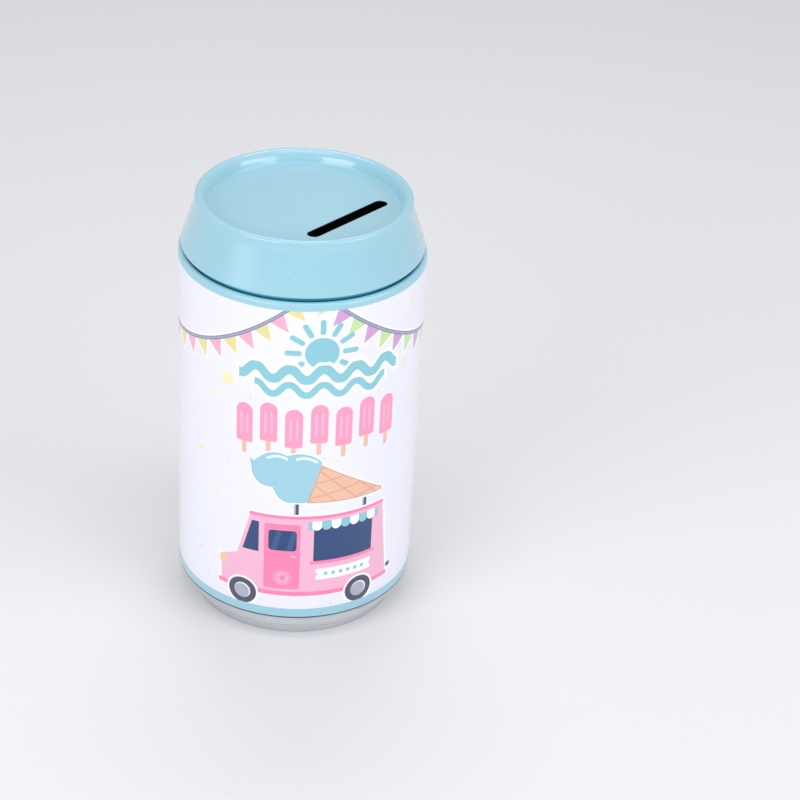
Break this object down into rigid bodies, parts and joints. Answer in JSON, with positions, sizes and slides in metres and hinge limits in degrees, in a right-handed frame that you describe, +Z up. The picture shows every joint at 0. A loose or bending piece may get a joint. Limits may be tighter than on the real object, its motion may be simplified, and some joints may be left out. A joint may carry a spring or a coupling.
{
  "type": "tin money box",
  "caption": "Drinks-can shaped tin money box with a tapered silver base and a lift-off rimmed lid with a coin slot.",
  "frame": {"origin": "centre of the standing ring, on the surface that the box stands on", "axes": "+Z up along the can's axis; the coin slot runs along X on the -Y side of the lid"},
  "size_m": [0.066, 0.066, 0.1215],
  "materials": {
    "printed_tinplate": "gloss",
    "base_tinplate": "brushed",
    "lid_enamel": "gloss",
    "collar_tinplate": "brushed"
  },
  "bodies": {
    "can": {"body_sleeve": "printed_tinplate", "base_cup": "base_tinplate"},
    "lid": {"lid_shell": "lid_enamel", "lid_collar": "collar_tinplate"}
  },
  "joints": [
    {"name": "lid_lift", "type": "slide", "parent": "can", "child": "lid", "axis": [0, 0, 1], "range_m": [0, 0.03]}
  ]
}
